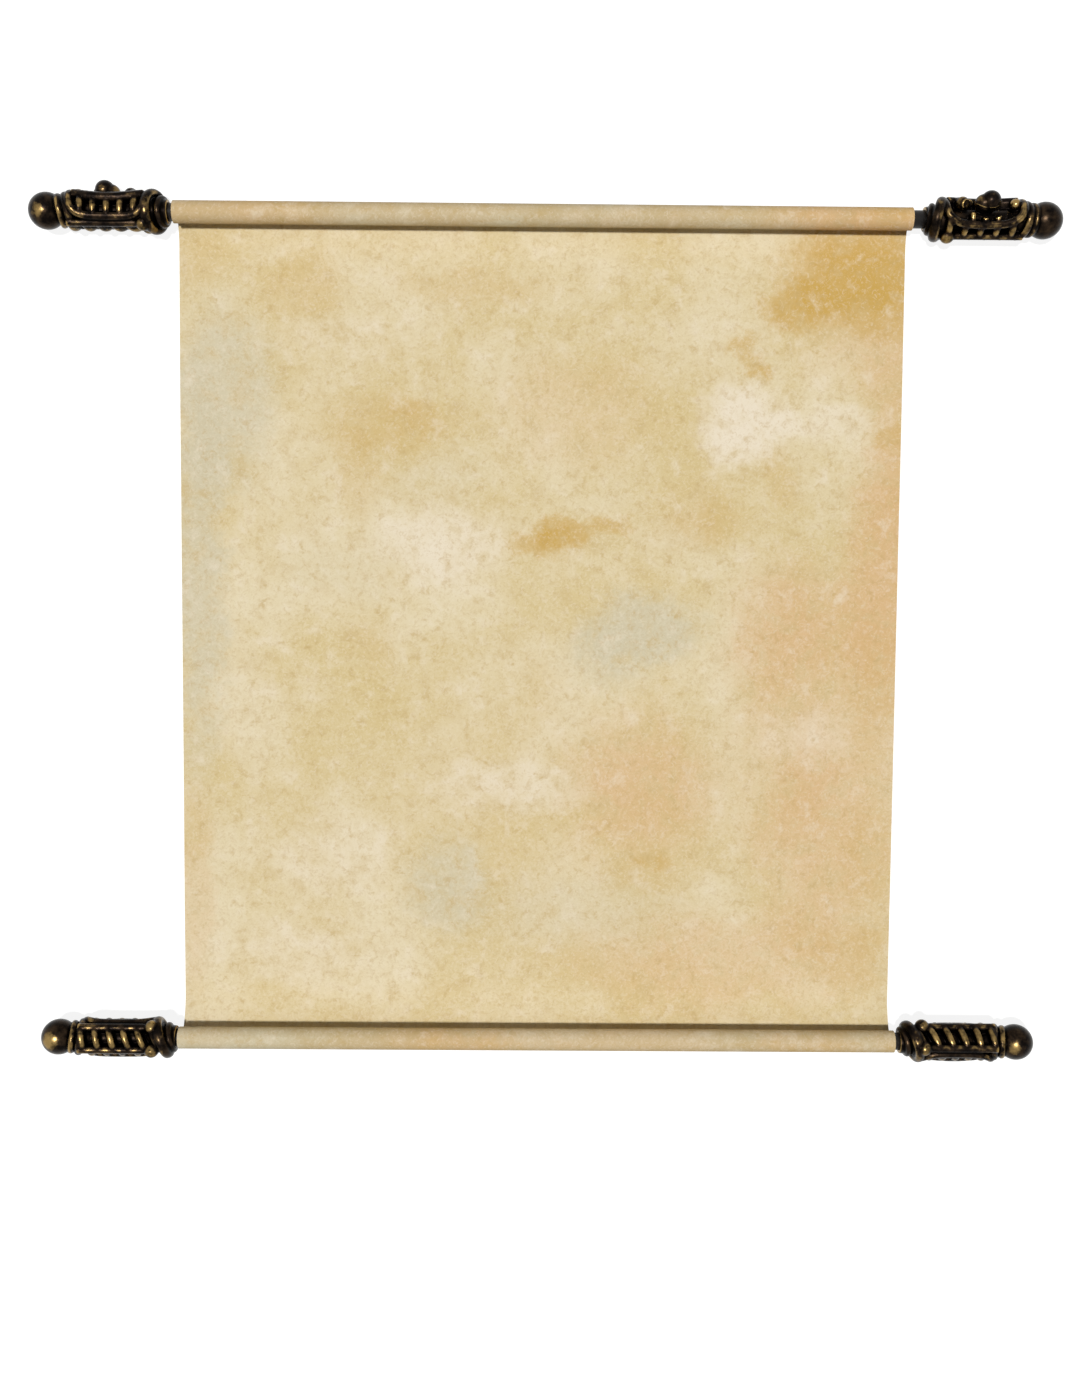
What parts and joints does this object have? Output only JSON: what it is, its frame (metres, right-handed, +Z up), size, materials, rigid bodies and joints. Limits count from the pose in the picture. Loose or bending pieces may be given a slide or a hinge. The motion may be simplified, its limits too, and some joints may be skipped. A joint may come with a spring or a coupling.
{
  "type": "paper scroll",
  "caption": "Open parchment scroll: a sheet wound at both ends on slim black dowels, each dowel end capped by an ornate antique-brass finial with a ball tip.",
  "frame": {"origin": "middle of the whole object's footprint, on the surface that the scroll lies on", "axes": "+X along the dowels, towards the right-hand finials; +Y from the bottom dowel to the top dowel; +Z up from the table"},
  "size_m": [0.294, 0.2532, 0.0156],
  "materials": {
    "parchment": "matt, mottled cream and ochre",
    "black_wood": "black painted, satin",
    "antique_brass": "cast, dark in the recesses and rubbed bright on the high points"
  },
  "bodies": {
    "root": {"paper_sheet": "parchment", "top_dowel": "black_wood", "bottom_dowel": "black_wood", "finial_top_left": "antique_brass", "finial_top_right": "antique_brass", "finial_bottom_left": "antique_brass", "finial_bottom_right": "antique_brass"}
  },
  "joints": []
}
